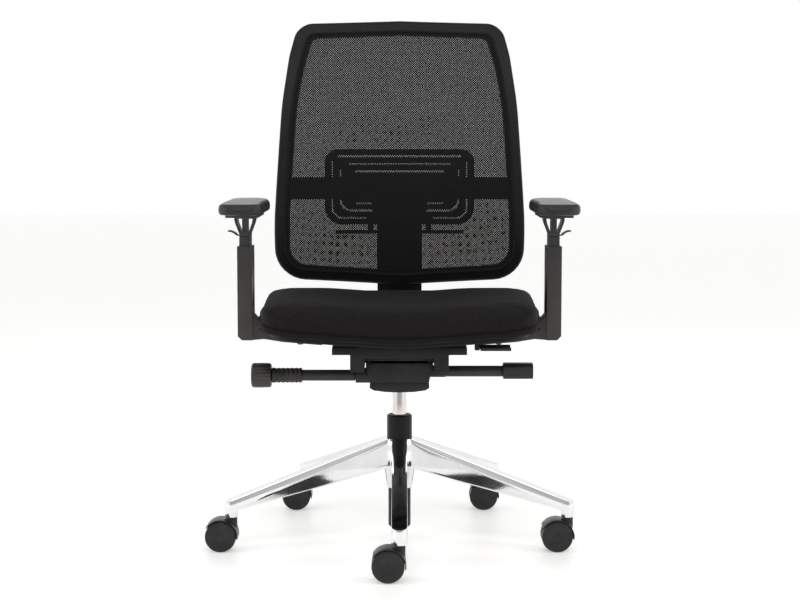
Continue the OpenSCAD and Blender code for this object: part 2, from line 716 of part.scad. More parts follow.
module back_frame() {
    half = back_w / 2;
    color([0.05, 0.05, 0.05]) difference() {
        union() {
            intersection() {
                back_slab(0, frame_d);
                front_view(100, 500) difference() {
                    back_outline(0);
                    back_outline(band_w);
                }
            }
            intersection() {
                back_slab(frame_d / 2, frame_d);
                front_view(100, 500) translate([-half + band_w / 2, crossbar_low])
                    square([2 * half - band_w, crossbar_high - crossbar_low]);
            }
        }
        at_spine_screws() rotate([90, 0, 0]) cylinder(d = screw_d, h = 60);
    }
}

spine_t = 18;

// Rear faces of the spine screws' seats: two in the crossbar and two in the frame's lower band
module at_spine_screws() {
    for (x = [-26, 26], z = [690, 503])
        translate([x, back_y + back_curve(z) + frame_d + spine_t - 4, z]) children();
}

module spine_screws() {
    color([0.3, 0.3, 0.32]) at_spine_screws() {
        rotate([90, 0, 0]) cylinder(d = screw_d, h = spine_t + 5);
        rotate([-90, 0, 0]) cylinder(d = 11, h = 3);
    }
}

module back_spine() {
    color([0.05, 0.05, 0.05]) difference() {
        intersection() {
            back_slab(frame_d, frame_d + spine_t);
            front_view(100, 500) translate([-spine_w / 2, spine_low])
                square([spine_w, crossbar_high - 4 - spine_low]);
        }
        at_spine_screws() rotate([90, 0, 0]) cylinder(d = screw_d, h = 60);
        at_spine_screws() rotate([-90, 0, 0]) cylinder(d = 11, h = 20);
    }
}

module back_link() {
    y0 = back_y + back_curve(spine_low) + frame_d;
    color([0.06, 0.06, 0.06]) difference() {
        side_view(-spine_w / 2 + 3, spine_w / 2 - 3) polygon(concat(arc(rear_pivot, 15, 90, 270),
            [[150, 337], [222, 350], [268, 374], [y0 + spine_t - 4, 405], [y0 + spine_t, spine_low],
             [y0, spine_low], [y0 - 3, 414], [252, 392], [210, 374], [150, 364]]));
        bar_x(-housing_w, housing_w, rear_pivot, shaft_d + 2 * turn_gap);
    }
}

mesh_t = 2.4;
mesh_lap = 9;

module back_mesh() {
    color([0.3, 0.29, 0.28]) intersection() {
        back_slab(-mesh_t, 0);
        front_view(100, 500) back_outline(band_w - mesh_lap);
    }
}

lumbar_low = 614;
lumbar_high = 771;
lumbar_front = 5;
lumbar_t = 5;

module lumbar_pad() {
    half = lumbar_w / 2;
    color([0.08, 0.08, 0.08]) intersection() {
        back_slab(lumbar_front, lumbar_front + lumbar_t);
        front_view(100, 500) polygon(rounded([[-half, lumbar_low, 36], [half, lumbar_low, 36],
            [half, lumbar_high, 36], [-half, lumbar_high, 36]]));
    }
}

module lumbar_handle() {
    color([0.08, 0.08, 0.08]) intersection() {
        back_slab(lumbar_front, lumbar_front + lumbar_t);
        front_view(100, 500) {
            translate([-134, lumbar_low - 19]) square([268, 8]);
            for (s = [-1, 1]) translate([s * 61 - 6, lumbar_low - 12]) square([12, 12]);
        }
    }
}

// ---- What is drawn ---------------------------------------------------------------------------

base_star();
column_tube();
column_bush();
piston_rod();
thrust_bearing();
gas_cylinder();
mech_housing();
mech_cover();
mech_springs();
front_shaft();
rear_shaft();
height_lever();
height_grip();
tilt_lever();
tilt_grip();
tension_knob();
seat_carrier();
seat_shell();
seat_cushion();
seat_depth_lever();
arm_bracket(-1);  // left_arm_bracket
arm_post(-1);  // left_arm_post
arm_trigger(-1);  // left_arm_trigger
arm_head(-1);  // left_arm_head
pad_plate(-1);  // left_pad_plate
arm_pad(-1);  // left_arm_pad
arm_bracket(1);  // right_arm_bracket
arm_post(1);  // right_arm_post
arm_trigger(1);  // right_arm_trigger
arm_head(1);  // right_arm_head
pad_plate(1);  // right_pad_plate
arm_pad(1);  // right_arm_pad
back_link();
back_spine();
back_frame();
back_mesh();
lumbar_pad();
lumbar_handle();
arm_screws();
spine_screws();
caster_hood(1);  // caster_1_hood
caster_pins(1);  // caster_1_pins
caster_wheel(1, -1);  // caster_1_wheel_a
caster_wheel(1, 1);  // caster_1_wheel_b
caster_hood(2);  // caster_2_hood
caster_pins(2);  // caster_2_pins
caster_wheel(2, -1);  // caster_2_wheel_a
caster_wheel(2, 1);  // caster_2_wheel_b
caster_hood(3);  // caster_3_hood
caster_pins(3);  // caster_3_pins
caster_wheel(3, -1);  // caster_3_wheel_a
caster_wheel(3, 1);  // caster_3_wheel_b
caster_hood(4);  // caster_4_hood
caster_pins(4);  // caster_4_pins
caster_wheel(4, -1);  // caster_4_wheel_a
caster_wheel(4, 1);  // caster_4_wheel_b
caster_hood(5);  // caster_5_hood
caster_pins(5);  // caster_5_pins
caster_wheel(5, -1);  // caster_5_wheel_a
caster_wheel(5, 1);  // caster_5_wheel_b
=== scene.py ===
"""A swivel office chair with a mesh back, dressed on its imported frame.

Metres, Z up, and the chair faces -Y.
"""
import json
from math import cos, exp, pi, radians, sin, sqrt, tan

import bmesh
import bpy
from mathutils import Matrix, Vector
from mathutils.bvhtree import BVHTree


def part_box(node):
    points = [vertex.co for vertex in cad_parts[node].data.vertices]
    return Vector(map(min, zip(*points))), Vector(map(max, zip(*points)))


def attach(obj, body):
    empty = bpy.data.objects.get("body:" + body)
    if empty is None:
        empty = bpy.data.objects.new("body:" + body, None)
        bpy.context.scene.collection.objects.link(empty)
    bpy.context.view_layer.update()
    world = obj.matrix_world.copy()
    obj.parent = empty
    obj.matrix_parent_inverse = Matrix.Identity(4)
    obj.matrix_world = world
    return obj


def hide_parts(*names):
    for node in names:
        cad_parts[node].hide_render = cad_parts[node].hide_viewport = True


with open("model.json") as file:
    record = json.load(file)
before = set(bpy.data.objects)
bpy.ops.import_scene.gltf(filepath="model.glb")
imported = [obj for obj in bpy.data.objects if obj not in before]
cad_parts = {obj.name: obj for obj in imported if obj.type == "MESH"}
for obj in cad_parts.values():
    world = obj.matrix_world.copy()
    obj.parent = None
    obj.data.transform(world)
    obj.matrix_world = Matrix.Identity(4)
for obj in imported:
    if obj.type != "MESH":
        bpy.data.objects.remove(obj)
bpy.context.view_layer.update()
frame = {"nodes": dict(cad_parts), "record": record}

scene = bpy.context.scene


# ---- Where the chair is looked at from -------------------------------------------------------
# A long lens at the height of the arm pads, about three and a half metres in front of the
# chair and tipped down a little, as furniture is pictured for a catalogue.

EYE = Vector((0.001, -3.4386, 0.8032))
TIPPED_DOWN = 0.0946
SENSOR_MM, LENS_MM = 36, 78.768

lens = bpy.data.cameras.new("catalogue_lens")
lens.sensor_width = SENSOR_MM
lens.lens = LENS_MM
lens.clip_end = 60
camera = bpy.data.objects.new("camera", lens)
camera.location = EYE
camera.rotation_euler = (pi / 2 - TIPPED_DOWN, 0, 0)
scene.collection.objects.link(camera)
scene.camera = camera


# ---- The studio ------------------------------------------------------------------------------
# A pale seamless floor under a white surround. A soft box hangs high in front, a strip hangs
# overhead, two stand at the sides and one lights the rear. The surround is darker in front of
# the chair and overhead, so polished faces have something dark to mirror.

def new_material(name):
    made = bpy.data.materials.new(name)
    made.use_nodes = True
    return made, made.node_tree.nodes, made.node_tree.links


floor_paint, nodes, links = new_material("pale_floor")
floor_shader = nodes["Principled BSDF"]
for socket, value in (("Roughness", 0.42), ("Specular IOR Level", 0.35),
                      ("Emission Color", (1, 0.99, 0.975, 1)), ("Emission Strength", 0.36)):
    floor_shader.inputs[socket].default_value = value
scuff = nodes.new("ShaderNodeTexNoise")
scuff.inputs["Scale"].default_value = 3.0
floor_tone = nodes.new("ShaderNodeValToRGB")
floor_tone.color_ramp.elements[0].color = (0.86, 0.855, 0.845, 1)
floor_tone.color_ramp.elements[1].color = (0.90, 0.895, 0.885, 1)
links.new(scuff.outputs["Fac"], floor_tone.inputs["Fac"])
links.new(floor_tone.outputs["Color"], floor_shader.inputs["Base Color"])

bm = bmesh.new()
FLOOR_HALF = 14
bmesh.ops.create_grid(bm, x_segments=4, y_segments=4, size=FLOOR_HALF)
floor_mesh = bpy.data.meshes.new("studio_floor")
bm.to_mesh(floor_mesh)
bm.free()
floor_mesh.materials.append(floor_paint)
studio_floor = bpy.data.objects.new("studio_floor", floor_mesh)
scene.collection.objects.link(studio_floor)


def soft_box(name, place, aim, size, power, tint=(1, 1, 1)):
    """A rectangular light hung at a place and turned to its aim, its power in watts"""
    lamp = bpy.data.lights.new(name, "AREA")
    lamp.shape = "RECTANGLE"
    lamp.size, lamp.size_y = size
    lamp.energy = power
    lamp.color = tint
    hung = bpy.data.objects.new(name, lamp)
    hung.location = place
    hung.rotation_euler = (Vector(aim) - Vector(place)).to_track_quat("-Z", "Y").to_euler()
    scene.collection.objects.link(hung)


soft_box("high_front_box", (0, -2.5, 2.9), (0, 0, 0.5), (2.4, 0.9), 18, (1, 0.985, 0.96))
soft_box("overhead_strip", (0, -0.45, 3.1), (0, -0.35, 0), (2.4, 0.7), 12)
soft_box("left_strip", (-2.4, -0.8, 1.5), (0, 0, 0.6), (0.7, 2.2), 9)
soft_box("right_strip", (2.4, -0.8, 1.5), (0, 0, 0.6), (0.7, 2.2), 9)
soft_box("back_wash", (0, 2.6, 2.4), (0, 0.2, 0.3), (3.0, 1.4), 8)

surround = bpy.data.worlds.new("white_surround")
surround.use_nodes = True
scene.world = surround
nodes, links = surround.node_tree.nodes, surround.node_tree.links
sky = nodes["Background"]
direction = nodes.new("ShaderNodeTexCoord")
split = nodes.new("ShaderNodeSeparateXYZ")
behind, ceiling = nodes.new("ShaderNodeMapRange"), nodes.new("ShaderNodeMapRange")
for band, spans in ((behind, (-0.98, -0.55, 0.45, 1.0)), (ceiling, (0.62, 0.88, 1.0, 0.12))):
    band.interpolation_type = "SMOOTHSTEP"
    for socket, value in zip(("From Min", "From Max", "To Min", "To Max"), spans):
        band.inputs[socket].default_value = value
dimmed = nodes.new("ShaderNodeMath")
dimmed.operation = "MULTIPLY"
links.new(direction.outputs["Generated"], split.inputs["Vector"])
links.new(split.outputs["Y"], behind.inputs["Value"])
links.new(split.outputs["Z"], ceiling.inputs["Value"])
links.new(behind.outputs["Result"], dimmed.inputs[0])
links.new(ceiling.outputs["Result"], dimmed.inputs[1])
links.new(dimmed.outputs["Value"], sky.inputs["Strength"])
sky.inputs["Color"].default_value = (1, 1, 1, 1)
scene.view_settings.view_transform = "Standard"


# ---- Base star -------------------------------------------------------------------------------
# The star is one aluminium die casting: a hub and five tapering legs, hollow underneath. It is
# polished to a mirror, which rounds its edges over. Each leg's end holds a caster's stem.

def node_group(name, inputs, outputs):
    """A shader node group with its sockets, and its nodes, links, input node and output node"""
    group = bpy.data.node_groups.new(name, "ShaderNodeTree")
    for kind, label, value in inputs:
        group.interface.new_socket(name=label, in_out="INPUT",
                                   socket_type="NodeSocket" + kind).default_value = value
    for kind, label in outputs:
        group.interface.new_socket(name=label, in_out="OUTPUT", socket_type="NodeSocket" + kind)
    nodes = group.nodes
    return group, nodes, group.links, nodes.new("NodeGroupInput"), nodes.new("NodeGroupOutput")


def surface_group():
    """Colour mottling, a polish or moulding unevenness and a fine grain, from object coordinates"""
    group, nodes, links, given, out = node_group("worked_surface", (
        ("Vector", "Place", (0, 0, 0)), ("Color", "Colour", (0.5, 0.5, 0.5, 1)),
        ("Color", "Rubbed colour", (0.5, 0.5, 0.5, 1)), ("Float", "Patch scale", 20.0),
        ("Float", "Grain scale", 900.0), ("Float", "Roughness", 0.4),
        ("Float", "Unevenness", 0.06)),
        (("Color", "Colour"), ("Float", "Roughness"), ("Float", "Height")))
    patches, grain = nodes.new("ShaderNodeTexNoise"), nodes.new("ShaderNodeTexVoronoi")
    patches.inputs["Detail"].default_value = 5.0
    patches.inputs["Roughness"].default_value = 0.6
    blend = nodes.new("ShaderNodeMix")
    blend.data_type = "RGBA"
    contrast = nodes.new("ShaderNodeMapRange")
    contrast.inputs["From Min"].default_value = 0.35
    contrast.inputs["From Max"].default_value = 0.70
    centred = nodes.new("ShaderNodeMath")
    centred.operation = "SUBTRACT"
    centred.inputs[1].default_value = 0.5
    spread = nodes.new("ShaderNodeMath")
    spread.operation = "MULTIPLY_ADD"
    relief = nodes.new("ShaderNodeMath")
    relief.operation = "MULTIPLY_ADD"
    relief.inputs[1].default_value = 0.5
    for node, socket in ((patches, "Patch scale"), (grain, "Grain scale")):
        links.new(given.outputs["Place"], node.inputs["Vector"])
        links.new(given.outputs[socket], node.inputs["Scale"])
    links.new(patches.outputs["Fac"], contrast.inputs["Value"])
    links.new(contrast.outputs["Result"], blend.inputs["Factor"])
    links.new(given.outputs["Colour"], blend.inputs["A"])
    links.new(given.outputs["Rubbed colour"], blend.inputs["B"])
    links.new(blend.outputs["Result"], out.inputs["Colour"])
    links.new(patches.outputs["Fac"], centred.inputs[0])
    links.new(centred.outputs["Value"], spread.inputs[0])
    links.new(given.outputs["Unevenness"], spread.inputs[1])
    links.new(given.outputs["Roughness"], spread.inputs[2])
    links.new(spread.outputs["Value"], out.inputs["Roughness"])
    links.new(patches.outputs["Fac"], relief.inputs[0])
    links.new(grain.outputs["Distance"], relief.inputs[2])
    links.new(relief.outputs["Value"], out.inputs["Height"])
    return group


worked_surface = surface_group()


def coated(name, group, depth, given, set_values):
    """A material whose surface a group gives, with relief of the given depth, and set_values on the
    shader
    """
    made, nodes, links = new_material(name)
    shader = nodes["Principled BSDF"]
    place, worked = nodes.new("ShaderNodeTexCoord"), nodes.new("ShaderNodeGroup")
    bump = nodes.new("ShaderNodeBump")
    worked.node_tree = group
    bump.inputs["Distance"].default_value = depth
    for socket, value in given.items():
        worked.inputs[socket].default_value = value
    links.new(place.outputs["Object"], worked.inputs["Place"])
    links.new(worked.outputs["Colour"], shader.inputs["Base Color"])
    if "Roughness" in worked.outputs:
        links.new(worked.outputs["Roughness"], shader.inputs["Roughness"])
    links.new(worked.outputs["Height"], bump.inputs["Height"])
    links.new(bump.outputs["Normal"], shader.inputs["Normal"])
    for socket, value in set_values.items():
        shader.inputs[socket.replace("_", " ")].default_value = value
    return made


def finish(name, colour, rubbed, roughness, grain=900, depth=0.00006, patch=20, uneven=0.1,
           **set_values):
    """A hard material on the worked surface"""
    return coated(name, worked_surface, depth, {
        "Colour": (*colour, 1), "Rubbed colour": (*rubbed, 1), "Patch scale": patch,
        "Grain scale": grain, "Roughness": roughness, "Unevenness": uneven}, set_values)


def show(bm, name, material, body, slot, *stands_for, sharp=32):
    """Makes a mesh into a finished piece that rides on its body"""
    mesh = bpy.data.meshes.new(name)
    bm.to_mesh(mesh)
    bm.free()
    mesh.materials.append(material)
    mesh.shade_smooth()
    mesh.set_sharp_from_angle(angle=radians(sharp))
    piece = bpy.data.objects.new(name, mesh)
    scene.collection.objects.link(piece)
    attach(piece, body)
    if stands_for:
        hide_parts(*stands_for)
    return piece


body_of_node = {node: body for body, members in frame["record"]["behaviour"]["bodies"].items()
                for node in members}


def solid_of(node):
    """A clean copy of a CAD node's solid, with its flat faces whole"""
    bm = bmesh.new()
    bm.from_mesh(frame["nodes"][node].data)
    bmesh.ops.remove_doubles(bm, verts=bm.verts, dist=2e-5)
    bmesh.ops.dissolve_limit(bm, angle_limit=radians(1.5), verts=bm.verts, edges=bm.edges)
    return bm


def eased(node, radius, material, slot, segments=2, corner=24, shaped=None):
    """The node's solid with its edges eased over, as casting, moulding or deburring leaves them"""
    bm = solid_of(node)
    if shaped:
        shaped(bm)
    crisp = [e for e in bm.edges if e.is_manifold and e.calc_face_angle(0) > radians(corner)]
    bmesh.ops.bevel(bm, geom=crisp, offset=radius, offset_type="OFFSET", affect="EDGES",
                    segments=segments, profile=0.5, material=-1, clamp_overlap=True)
    return show(bm, node + "_finished", material, body_of_node[node], slot, node)


def dress(material, *names):
    """Gives CAD nodes whose shape is right their finish"""
    for node in names:
        for place in frame["nodes"][node].material_slots:
            place.material = material


mirror_polish = finish("mirror_polished_aluminium", (0.86, 0.86, 0.865), (0.80, 0.80, 0.81), 0.07,
                       grain=260, depth=0.000010, patch=14, uneven=0.05, Metallic=1.0)
LEGS, LEG_FROM, DRAFT, DRAFT_Z = 5, 0.045, 3.4, 0.125
leg_ways = [Vector((sin(2 * pi * leg / LEGS), -cos(2 * pi * leg / LEGS))) for leg in range(LEGS)]


def drafted(bm):
    """Leans the legs' sides inwards upwards, as the casting die's draft leaves them"""
    for vert in bm.verts:
        reach = Vector((vert.co.x, vert.co.y))
        if reach.length < LEG_FROM:
            continue
        along = max(leg_ways, key=reach.dot)
        across = Vector((-along.y, along.x))
        aside = reach.dot(across) * (1 - DRAFT * (vert.co.z - DRAFT_Z))
        vert.co.x, vert.co.y = along * reach.dot(along) + across * aside


eased("base_star", 0.0022, mirror_polish, "polished_aluminium", shaped=drafted)


# ---- Gas column ------------------------------------------------------------------------------
# The outer tube is powder-coated steel, pressed into the hub's taper. A plastic bush in its
# mouth guides the chromed gas cylinder, whose piston rod stands on a thrust bearing below.

powder_coat = finish("black_powder_coat", (0.007, 0.0066, 0.0064), (0.012, 0.0115, 0.011), 0.26,
                     grain=1400, depth=0.00003, Specular_IOR_Level=0.18)
bush_nylon = finish("bush_nylon", (0.02, 0.02, 0.02), (0.03, 0.03, 0.03), 0.5)
ground_steel = finish("ground_steel", (0.55, 0.55, 0.56), (0.42, 0.42, 0.43), 0.26, grain=2200,
                      patch=60, uneven=0.2, Metallic=1.0)
hard_chrome = finish("hard_chrome", (0.80, 0.775, 0.74), (0.74, 0.715, 0.68), 0.10, grain=500,
                     depth=0.00002, patch=40, uneven=0.08, Metallic=1.0)
eased("column_tube", 0.0012, powder_coat, "black_steel")
eased("gas_cylinder", 0.0008, hard_chrome, "chrome")
dress(bush_nylon, "column_bush")
dress(ground_steel, "piston_rod", "thrust_bearing")


# ---- Casters ---------------------------------------------------------------------------------
# Five twin-wheel casters. A nylon hood carries the axle in the web between its wheels and a
# fender over them, and turns on a steel stem that clips into the leg's end. The wheels are
# nylon discs with a raised tread rim, a dished face and a hub cap.

hood_nylon = finish("caster_hood_nylon", (0.010, 0.010, 0.010), (0.018, 0.018, 0.018), 0.33,
                    grain=1100, depth=0.00005, Specular_IOR_Level=0.3)
wheel_nylon = finish("caster_wheel_nylon", (0.013, 0.013, 0.013), (0.024, 0.024, 0.023), 0.38,
                     grain=800, depth=0.00005, patch=45, uneven=0.16, Specular_IOR_Level=0.3)
WHEEL_STEPS, WHEEL_EASE = 72, 0.0007


def chained(bm, verts, closed=False):
    """Joins vertices in turn with edges, and the last with the first when closed"""
    for pair in zip(verts, verts[1:] + verts[:1] * closed):
        bm.edges.new(pair)


def spun(bm, centre, axis, steps):
    """Turns a line once round an axis into a closed solid"""
    bmesh.ops.spin(bm, geom=bm.verts[:] + bm.edges[:], cent=centre, axis=axis, angle=2 * pi,
                   steps=steps, use_merge=True)
    bmesh.ops.remove_doubles(bm, verts=bm.verts, dist=1e-6)
    bmesh.ops.recalc_face_normals(bm, faces=bm.faces)
    return bm


def wheel_disc(low, high, rear):
    """A wheel spun about its axle in its node's box, its outer face to the rear or the front"""
    way = 1 if rear else -1
    axle = Vector(((low[0] + high[0]) / 2, low[1] if rear else high[1], (low[2] + high[2]) / 2))
    bm = bmesh.new()
    # (radius, distance from the inner face): tread, raised rim, dished face and hub cap
    profile = [(0.0031, 0.0), (0.0292, 0.0), (0.030, 0.0008), (0.030, 0.0150), (0.0292, 0.0178),
               (0.0277, 0.0193), (0.0262, 0.0198), (0.0252, 0.0197), (0.0246, 0.0190),
               (0.0240, 0.0189), (0.0098, 0.0186), (0.0093, 0.0181), (0.0088, 0.0183), (0.0, 0.0185)]
    line = [bm.verts.new(axle + Vector((0, way * along, out))) for out, along in profile]
    chained(bm, line)
    bmesh.ops.bevel(bm, geom=line[3:6] + line[8:12], offset=WHEEL_EASE, offset_type="OFFSET",
                    affect="VERTICES", segments=2, profile=0.5, material=-1)
    return spun(bm, axle, (0, 1, 0), WHEEL_STEPS)


for number in range(1, 6):
    eased(f"caster_{number}_hood", 0.0007, hood_nylon, "caster_nylon")
    dress(ground_steel, f"caster_{number}_pins")
    for side, rear in (("a", True), ("b", False)):
        node = f"caster_{number}_wheel_{side}"
        show(wheel_disc(*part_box(node), rear), node + "_finished", wheel_nylon, body_of_node[node],
             "wheel_nylon", node)


# ---- Tilt mechanism --------------------------------------------------------------------------
# A powder-coated casting open at the top and rear, with a nylon cover snapped on below. Two
# steel shafts cross it: the front one carries the seat carrier and the rear one the back's link.

casting_coat = finish("casting_powder_coat", (0.012, 0.011, 0.011), (0.020, 0.019, 0.019), 0.46,
                      grain=1500, depth=0.00009, Specular_IOR_Level=0.28)
cover_nylon = finish("cover_nylon", (0.012, 0.011, 0.011), (0.018, 0.017, 0.017), 0.42,
                     grain=1000, depth=0.00007, Specular_IOR_Level=0.28)
spring_wire = finish("oiled_spring_wire", (0.22, 0.21, 0.20), (0.14, 0.13, 0.12), 0.34, patch=70,
                     uneven=0.2, Metallic=1.0)
eased("mech_housing", 0.0012, casting_coat, "black_casting")
eased("mech_cover", 0.0015, cover_nylon, "black_nylon")
dress(spring_wire, "mech_springs")
oiled_shaft = finish("oiled_shaft_steel", (0.045, 0.043, 0.042), (0.08, 0.077, 0.075), 0.34,
                     grain=2000, patch=60, uneven=0.2, Metallic=0.9)
dress(oiled_shaft, "front_shaft", "rear_shaft")


# ---- Levers and tension knob -----------------------------------------------------------------
# The left lever is a coated steel tube with a ribbed grip. Turning the grip sets the tilt, and
# the knob on its end sets the tension. The right lever ends in a flat paddle that is lifted.

def turned_x(line, axis_at, steps=64):
    """Spins a line of (distance along X, radius) about an axis along X"""
    bm = bmesh.new()
    chained(bm, [bm.verts.new((along, axis_at[0], axis_at[1] + out)) for along, out in line])
    return spun(bm, (0, *axis_at), (1, 0, 0), steps)


lever_coat = finish("lever_powder_coat", (0.026, 0.024, 0.0235), (0.038, 0.036, 0.035), 0.40,
                    grain=1300, depth=0.00006, Specular_IOR_Level=0.32)
grip_nylon = finish("grip_nylon", (0.022, 0.020, 0.0195), (0.032, 0.030, 0.029), 0.36, grain=900,
                    Specular_IOR_Level=0.32)
knob_nylon = finish("knob_nylon", (0.020, 0.018, 0.0175), (0.030, 0.028, 0.027), 0.32, grain=1200,
                    Specular_IOR_Level=0.5)
eased("tilt_lever", 0.0009, lever_coat, "black_steel")
eased("height_lever", 0.0009, lever_coat, "black_steel")
eased("height_grip", 0.0020, grip_nylon, "black_nylon", segments=3)

low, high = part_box("tilt_grip")
grip_axis = ((low[1] + high[1]) / 2, (low[2] + high[2]) / 2)
GRIP_R, BORE_R, RIB, RIBS, RIB_FROM = (high[2] - low[2]) / 2, 0.0108, 0.0009, 6, 0.004
line = [(high[0], BORE_R), (high[0], GRIP_R - 0.0018), (high[0] - 0.0018, GRIP_R)]
step = (high[0] - low[0] - 2 * RIB_FROM) / RIBS
for rib in range(RIBS):
    start = high[0] - RIB_FROM - rib * step
    line += [(start, GRIP_R), (start - 0.0012, GRIP_R - RIB), (start - step + 0.0034, GRIP_R - RIB),
             (start - step + 0.0022, GRIP_R)]
line += [(low[0] + 0.0015, GRIP_R), (low[0], GRIP_R - 0.0015), (low[0], BORE_R), (high[0], BORE_R)]
show(turned_x(line, grip_axis), "tilt_grip_finished", grip_nylon, "tilt_lever", "black_nylon",
     "tilt_grip")

low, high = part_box("tension_knob")
knob_axis = ((low[1] + high[1]) / 2, (low[2] + high[2]) / 2)
KNOB_R, KNOB_L, FLUTES, FLUTE_DEEP = (high[2] - low[2]) / 2, 0.039, 20, 0.0009
FLUTES_FROM, FLUTES_TO, FLUTED_R = 0.004, 0.036, 0.019
face_x = low[0]
line = [(face_x, 0.0), (face_x + 0.0008, 0.006), (face_x + 0.0004, 0.015), (face_x, 0.0185),
        (face_x + 0.0004, 0.0210), (face_x + 0.0022, 0.0230), (face_x + 0.0048, KNOB_R),
        (face_x + 0.020, KNOB_R), (face_x + KNOB_L - 0.004, KNOB_R - 0.0004),
        (face_x + KNOB_L - 0.0012, KNOB_R - 0.0018), (face_x + KNOB_L, KNOB_R - 0.0042),
        (face_x + KNOB_L, 0.0050), (high[0], 0.0050), (high[0], 0.0)]
bm = turned_x(line, knob_axis, steps=FLUTES * 6)
for vert in bm.verts:
    along, out = vert.co.x - face_x, Vector((vert.co.y - knob_axis[0], vert.co.z - knob_axis[1]))
    if FLUTES_FROM < along < FLUTES_TO and out.length > FLUTED_R:
        turn = FLUTES * Vector((1, 0)).angle_signed(out)
        pull = 1 - FLUTE_DEEP * max(0.0, sin(turn)) / out.length
        vert.co.y, vert.co.z = knob_axis[0] + out.x * pull, knob_axis[1] + out.y * pull
show(bm, "tension_knob_finished", knob_nylon, "tension_knob", "black_nylon", "tension_knob")


# ---- Seat carrier and shell ------------------------------------------------------------------
# The carrier is a coated steel weldment that tilts on the front shaft. The moulded shell slides
# on its flanges, holds the cushion's foam from below and takes the arms' screws.

carrier_coat = finish("carrier_powder_coat", (0.009, 0.0085, 0.0085), (0.015, 0.0145, 0.0145), 0.44,
                      grain=1400, depth=0.00007, Specular_IOR_Level=0.25)
shell_nylon = finish("shell_nylon", (0.006, 0.0058, 0.0058), (0.010, 0.0096, 0.0096), 0.48,
                     grain=700, depth=0.0001, Specular_IOR_Level=0.2)
eased("seat_carrier", 0.0010, carrier_coat, "black_steel")
eased("seat_shell", 0.0010, shell_nylon, "black_nylon", corner=40)
eased("seat_depth_lever", 0.0012, grip_nylon, "black_nylon")


# ---- Seat cushion ----------------------------------------------------------------------------
# Cut foam under a sewn cover of fine black cloth. The cover is pulled down over a waterfall
# front and its rounded sides, and a corded seam runs round it just above the shell.

def weave_group():
    """A plain weave of two crossing yarns from object coordinates, with its height and a yarn colour
    that has painted shade in the weave's hollows
    """
    group, nodes, links, given, out = node_group("plain_weave", (
        ("Vector", "Place", (0, 0, 0)), ("Color", "Yarn", (0.03, 0.03, 0.03, 1)),
        ("Color", "Hollow shade", (0.01, 0.01, 0.01, 1)), ("Float", "Threads", 4000.0)),
        (("Color", "Colour"), ("Float", "Height")))
    yarns = []
    for slope in ((1, 0, 0.71), (0, 1, 0.71)):
        along = nodes.new("ShaderNodeVectorMath")
        along.operation = "DOT_PRODUCT"
        along.inputs[1].default_value = slope
        scaled, wave = nodes.new("ShaderNodeMath"), nodes.new("ShaderNodeMath")
        scaled.operation, wave.operation = "MULTIPLY", "SINE"
        links.new(given.outputs["Place"], along.inputs[0])
        links.new(along.outputs["Value"], scaled.inputs[0])
        links.new(given.outputs["Threads"], scaled.inputs[1])
        links.new(scaled.outputs["Value"], wave.inputs[0])
        yarns.append(wave)
    crossed, height = nodes.new("ShaderNodeMath"), nodes.new("ShaderNodeMath")
    crossed.operation, height.operation = "MULTIPLY", "MULTIPLY_ADD"
    height.inputs[1].default_value = height.inputs[2].default_value = 0.5
    links.new(yarns[0].outputs["Value"], crossed.inputs[0])
    links.new(yarns[1].outputs["Value"], crossed.inputs[1])
    links.new(crossed.outputs["Value"], height.inputs[0])
    slub = nodes.new("ShaderNodeTexNoise")
    slub.inputs["Scale"].default_value = 160.0
    slub.inputs["Detail"].default_value = 3.0
    lift = nodes.new("ShaderNodeMath")
    lift.operation = "MULTIPLY"
    # Painted shade: the colour falls from the yarn's to the darker hollow colour where the weave's
    # height is low, and also in the slub noise's low patches, a random tone
    shade = nodes.new("ShaderNodeMix")
    shade.data_type = "RGBA"
    links.new(given.outputs["Place"], slub.inputs["Vector"])
    links.new(height.outputs["Value"], lift.inputs[0])
    links.new(slub.outputs["Fac"], lift.inputs[1])
    links.new(lift.outputs["Value"], shade.inputs["Factor"])
    links.new(given.outputs["Hollow shade"], shade.inputs["A"])
    links.new(given.outputs["Yarn"], shade.inputs["B"])
    links.new(shade.outputs["Result"], out.inputs["Colour"])
    links.new(lift.outputs["Value"], out.inputs["Height"])
    return group


plain_weave = weave_group()


def woven(name, yarn, hollow_shade, threads, depth, sheen):
    """A cloth in the plain weave, threads in radians a metre; its second colour is painted shade for
    the weave's hollows
    """
    return coated(name, plain_weave, depth, {
        "Yarn": (*yarn, 1), "Hollow shade": (*hollow_shade, 1), "Threads": threads}, {
        "Roughness": 0.86, "Specular_IOR_Level": 0.10, "Sheen_Weight": sheen,
        "Sheen_Roughness": 0.5, "Sheen_Tint": (0.96, 0.93, 0.92, 1)})


# The second colour is painted shade in the hollows of the weave
seat_cloth = woven("black_seat_cloth", (0.022, 0.0190, 0.0195), (0.0070, 0.0060, 0.0060), 4200,
                   0.00022, 0.02)


def as_mesh(bm):
    mesh = bpy.data.meshes.new("passing")
    bm.to_mesh(mesh)
    bm.free()
    return mesh


def evaluated(mesh, set_up):
    """The mesh after modifiers that set_up adds to a passing object"""
    passing = bpy.data.objects.new("passing", mesh)
    scene.collection.objects.link(passing)
    set_up(passing)
    result = bpy.data.meshes.new_from_object(
        passing.evaluated_get(bpy.context.evaluated_depsgraph_get()))
    bpy.data.objects.remove(passing)
    return result


def remeshed(node, voxel):
    """The node's solid in even square faces, a voxel wide, that can be moved as a soft skin"""
    bm = solid_of(node)
    bmesh.ops.triangulate(bm, faces=bm.faces)

    def set_up(passing):
        remesh = passing.modifiers.new("remesh", "REMESH")
        remesh.mode, remesh.voxel_size = "VOXEL", voxel

    return evaluated(as_mesh(bm), set_up)


